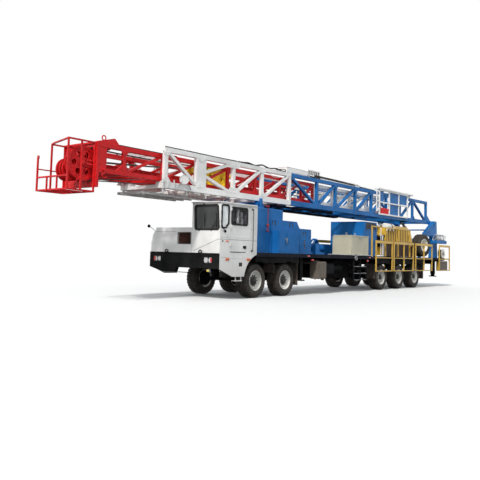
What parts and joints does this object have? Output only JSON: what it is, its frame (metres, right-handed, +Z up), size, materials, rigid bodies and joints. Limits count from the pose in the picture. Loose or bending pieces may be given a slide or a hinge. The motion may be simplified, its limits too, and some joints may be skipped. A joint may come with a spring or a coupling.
{
  "type": "truck-mounted workover rig",
  "caption": "Mobile well-servicing rig: multi-axle carrier with half cab, engine and winch housings and a telescopic lattice mast that is raised by cylinders.",
  "frame": {"origin": "on the ground, in the middle of the bounding box along and across", "axes": "+X forward along the carrier, +Y to the cab side (left), +Z up"},
  "size_m": [23.52, 3.05, 4.6098],
  "materials": {
    "frame_black": "satin, dusty",
    "white_paint": "gloss",
    "window_glass": "tinted",
    "lamp_glass": "clear",
    "grille_brown": "matt",
    "blue_paint": "gloss",
    "beige_paint": "satin",
    "yellow_paint": "gloss",
    "red_paint": "gloss",
    "grey_paint": "matt",
    "steel": "bare",
    "tyre": "matt"
  },
  "bodies": {
    "carrier": {"chassis_frame": "frame_black", "deck": "frame_black", "mudguards": "frame_black", "front_bumper": "frame_black", "lamps": "lamp_glass", "cab_shell": "white_paint", "cab_glass": "window_glass", "cab_interior": "frame_black", "front_hood": "white_paint", "hood_grille": "grille_brown", "engine_house": "blue_paint", "side_cabinet": "blue_paint", "tool_locker": "beige_paint", "winch_house": "blue_paint", "drawworks": "frame_black", "drawworks_guard": "yellow_paint", "railings": "yellow_paint", "rear_panels": "yellow_paint", "spare_wheel": "tyre", "fuel_tank": "grey_paint", "access_ladder": "frame_black", "axles": "frame_black", "mast_legs": "blue_paint", "mast_rest": "blue_paint"},
    "knuckle_1_left_body": {"knuckle_1_left": "frame_black"},
    "knuckle_1_right_body": {"knuckle_1_right": "frame_black"},
    "knuckle_2_left_body": {"knuckle_2_left": "frame_black"},
    "knuckle_2_right_body": {"knuckle_2_right": "frame_black"},
    "wheel_1_left_body": {"wheel_1_left": "tyre"},
    "wheel_1_right_body": {"wheel_1_right": "tyre"},
    "wheel_2_left_body": {"wheel_2_left": "tyre"},
    "wheel_2_right_body": {"wheel_2_right": "tyre"},
    "wheel_3_left_body": {"wheel_3_left": "tyre"},
    "wheel_3_right_body": {"wheel_3_right": "tyre"},
    "wheel_4_left_body": {"wheel_4_left": "tyre"},
    "wheel_4_right_body": {"wheel_4_right": "tyre"},
    "wheel_5_left_body": {"wheel_5_left": "tyre"},
    "wheel_5_right_body": {"wheel_5_right": "tyre"},
    "door": {"cab_door": "white_paint", "cab_door_glass": "window_glass"},
    "cabinet_leaf_front": {"cabinet_door_front": "blue_paint"},
    "cabinet_leaf_rear": {"cabinet_door_rear": "blue_paint"},
    "lid": {"locker_lid": "beige_paint"},
    "mast": {"lower_mast_front": "white_paint", "lower_mast_rear": "blue_paint", "mast_covers": "white_paint", "wind_wall": "white_paint", "finger_board": "grey_paint"},
    "top_mast": {"upper_mast_front": "red_paint", "upper_mast_rear": "white_paint", "travelling_block": "yellow_paint", "crown_block": "red_paint", "crown_cage": "red_paint"},
    "barrels": {"ram_barrels": "steel"},
    "sleeves": {"ram_sleeves": "steel"},
    "rods": {"ram_rods": "steel"},
    "jack_front_left_body": {"jack_front_left": "steel"},
    "jack_front_right_body": {"jack_front_right": "steel"},
    "jack_rear_left_body": {"jack_rear_left": "steel"},
    "jack_rear_right_body": {"jack_rear_right": "steel"}
  },
  "joints": [
    {"name": "steer_1_left", "type": "hinge", "parent": "carrier", "child": "knuckle_1_left_body", "pos_m": [4.855, 0.84, 0.55], "axis": [0, 0, 1], "range_deg": [-32, 32]},
    {"name": "steer_1_right", "type": "hinge", "parent": "carrier", "child": "knuckle_1_right_body", "pos_m": [4.855, -0.84, 0.55], "axis": [0, 0, 1], "range_deg": [-32, 32]},
    {"name": "steer_2_left", "type": "hinge", "parent": "carrier", "child": "knuckle_2_left_body", "pos_m": [3.18, 0.84, 0.55], "axis": [0, 0, 1], "range_deg": [-21, 21]},
    {"name": "steer_2_right", "type": "hinge", "parent": "carrier", "child": "knuckle_2_right_body", "pos_m": [3.18, -0.84, 0.55], "axis": [0, 0, 1], "range_deg": [-21, 21]},
    {"name": "wheel_1_left_spin", "type": "hinge", "parent": "knuckle_1_left_body", "child": "wheel_1_left_body", "pos_m": [4.855, 1.062, 0.55], "axis": [0, 1, 0], "continuous": true},
    {"name": "wheel_1_right_spin", "type": "hinge", "parent": "knuckle_1_right_body", "child": "wheel_1_right_body", "pos_m": [4.855, -1.062, 0.55], "axis": [0, 1, 0], "continuous": true},
    {"name": "wheel_2_left_spin", "type": "hinge", "parent": "knuckle_2_left_body", "child": "wheel_2_left_body", "pos_m": [3.18, 1.062, 0.55], "axis": [0, 1, 0], "continuous": true},
    {"name": "wheel_2_right_spin", "type": "hinge", "parent": "knuckle_2_right_body", "child": "wheel_2_right_body", "pos_m": [3.18, -1.062, 0.55], "axis": [0, 1, 0], "continuous": true},
    {"name": "wheel_3_left_spin", "type": "hinge", "parent": "carrier", "child": "wheel_3_left_body", "pos_m": [-4.212, 1.062, 0.55], "axis": [0, 1, 0], "continuous": true},
    {"name": "wheel_3_right_spin", "type": "hinge", "parent": "carrier", "child": "wheel_3_right_body", "pos_m": [-4.212, -1.062, 0.55], "axis": [0, 1, 0], "continuous": true},
    {"name": "wheel_4_left_spin", "type": "hinge", "parent": "carrier", "child": "wheel_4_left_body", "pos_m": [-5.994, 1.062, 0.55], "axis": [0, 1, 0], "continuous": true},
    {"name": "wheel_4_right_spin", "type": "hinge", "parent": "carrier", "child": "wheel_4_right_body", "pos_m": [-5.994, -1.062, 0.55], "axis": [0, 1, 0], "continuous": true},
    {"name": "wheel_5_left_spin", "type": "hinge", "parent": "carrier", "child": "wheel_5_left_body", "pos_m": [-7.776, 1.062, 0.55], "axis": [0, 1, 0], "continuous": true},
    {"name": "wheel_5_right_spin", "type": "hinge", "parent": "carrier", "child": "wheel_5_right_body", "pos_m": [-7.776, -1.062, 0.55], "axis": [0, 1, 0], "continuous": true},
    {"name": "cab_door_hinge", "type": "hinge", "parent": "carrier", "child": "door", "pos_m": [6.423, 1.468, 2.1], "axis": [0, 0, -1], "range_deg": [0, 75]},
    {"name": "cabinet_front_hinge", "type": "hinge", "parent": "carrier", "child": "cabinet_leaf_front", "pos_m": [3.86, 1.438, 1.83], "axis": [0, 0, -1], "range_deg": [0, 110]},
    {"name": "cabinet_rear_hinge", "type": "hinge", "parent": "carrier", "child": "cabinet_leaf_rear", "pos_m": [2.66, 1.438, 1.83], "axis": [0, 0, 1], "range_deg": [0, 110]},
    {"name": "locker_lid_hinge", "type": "hinge", "parent": "carrier", "child": "lid", "pos_m": [-1.875, 0.578, 2.217], "axis": [1, 0, 0], "range_deg": [0, 85]},
    {"name": "mast_raise", "type": "hinge", "parent": "carrier", "child": "mast", "pos_m": [-10.64, 0, 3.22], "axis": [0, -1, 0], "range_deg": [0, 93.5]},
    {"name": "mast_extend", "type": "slide", "parent": "mast", "child": "top_mast", "axis": [1, 0, 0], "range_m": [0, 12]},
    {"name": "ram_tilt", "type": "hinge", "parent": "carrier", "child": "barrels", "pos_m": [-9.69, 0, 1.65], "axis": [0, -1, 0], "range_deg": [0, 65]},
    {"name": "ram_stage_1", "type": "slide", "parent": "barrels", "child": "sleeves", "axis": [0.7788, 0, 0.6273], "range_m": [0, 1.08]},
    {"name": "ram_stage_2", "type": "slide", "parent": "sleeves", "child": "rods", "axis": [0.7788, 0, 0.6273], "range_m": [0, 1.08]},
    {"name": "jack_front_left_slide", "type": "slide", "parent": "carrier", "child": "jack_front_left_body", "axis": [0, 0, -1], "range_m": [0, 0.48]},
    {"name": "jack_front_right_slide", "type": "slide", "parent": "carrier", "child": "jack_front_right_body", "axis": [0, 0, -1], "range_m": [0, 0.48]},
    {"name": "jack_rear_left_slide", "type": "slide", "parent": "carrier", "child": "jack_rear_left_body", "axis": [0, 0, -1], "range_m": [0, 0.48]},
    {"name": "jack_rear_right_slide", "type": "slide", "parent": "carrier", "child": "jack_rear_right_body", "axis": [0, 0, -1], "range_m": [0, 0.48]}
  ],
  "couplings": [
    {"joint": "steer_1_right", "follows": "steer_1_left", "ratio": 1},
    {"joint": "steer_2_left", "follows": "steer_1_left", "ratio": 0.65},
    {"joint": "steer_2_right", "follows": "steer_1_left", "ratio": 0.65},
    {"joint": "ram_tilt", "follows": "mast_raise", "ratio": 0.68609},
    {"joint": "ram_stage_1", "follows": "mast_raise", "m_per_rad": 0.65095},
    {"joint": "ram_stage_2", "follows": "mast_raise", "m_per_rad": 0.65095}
  ]
}
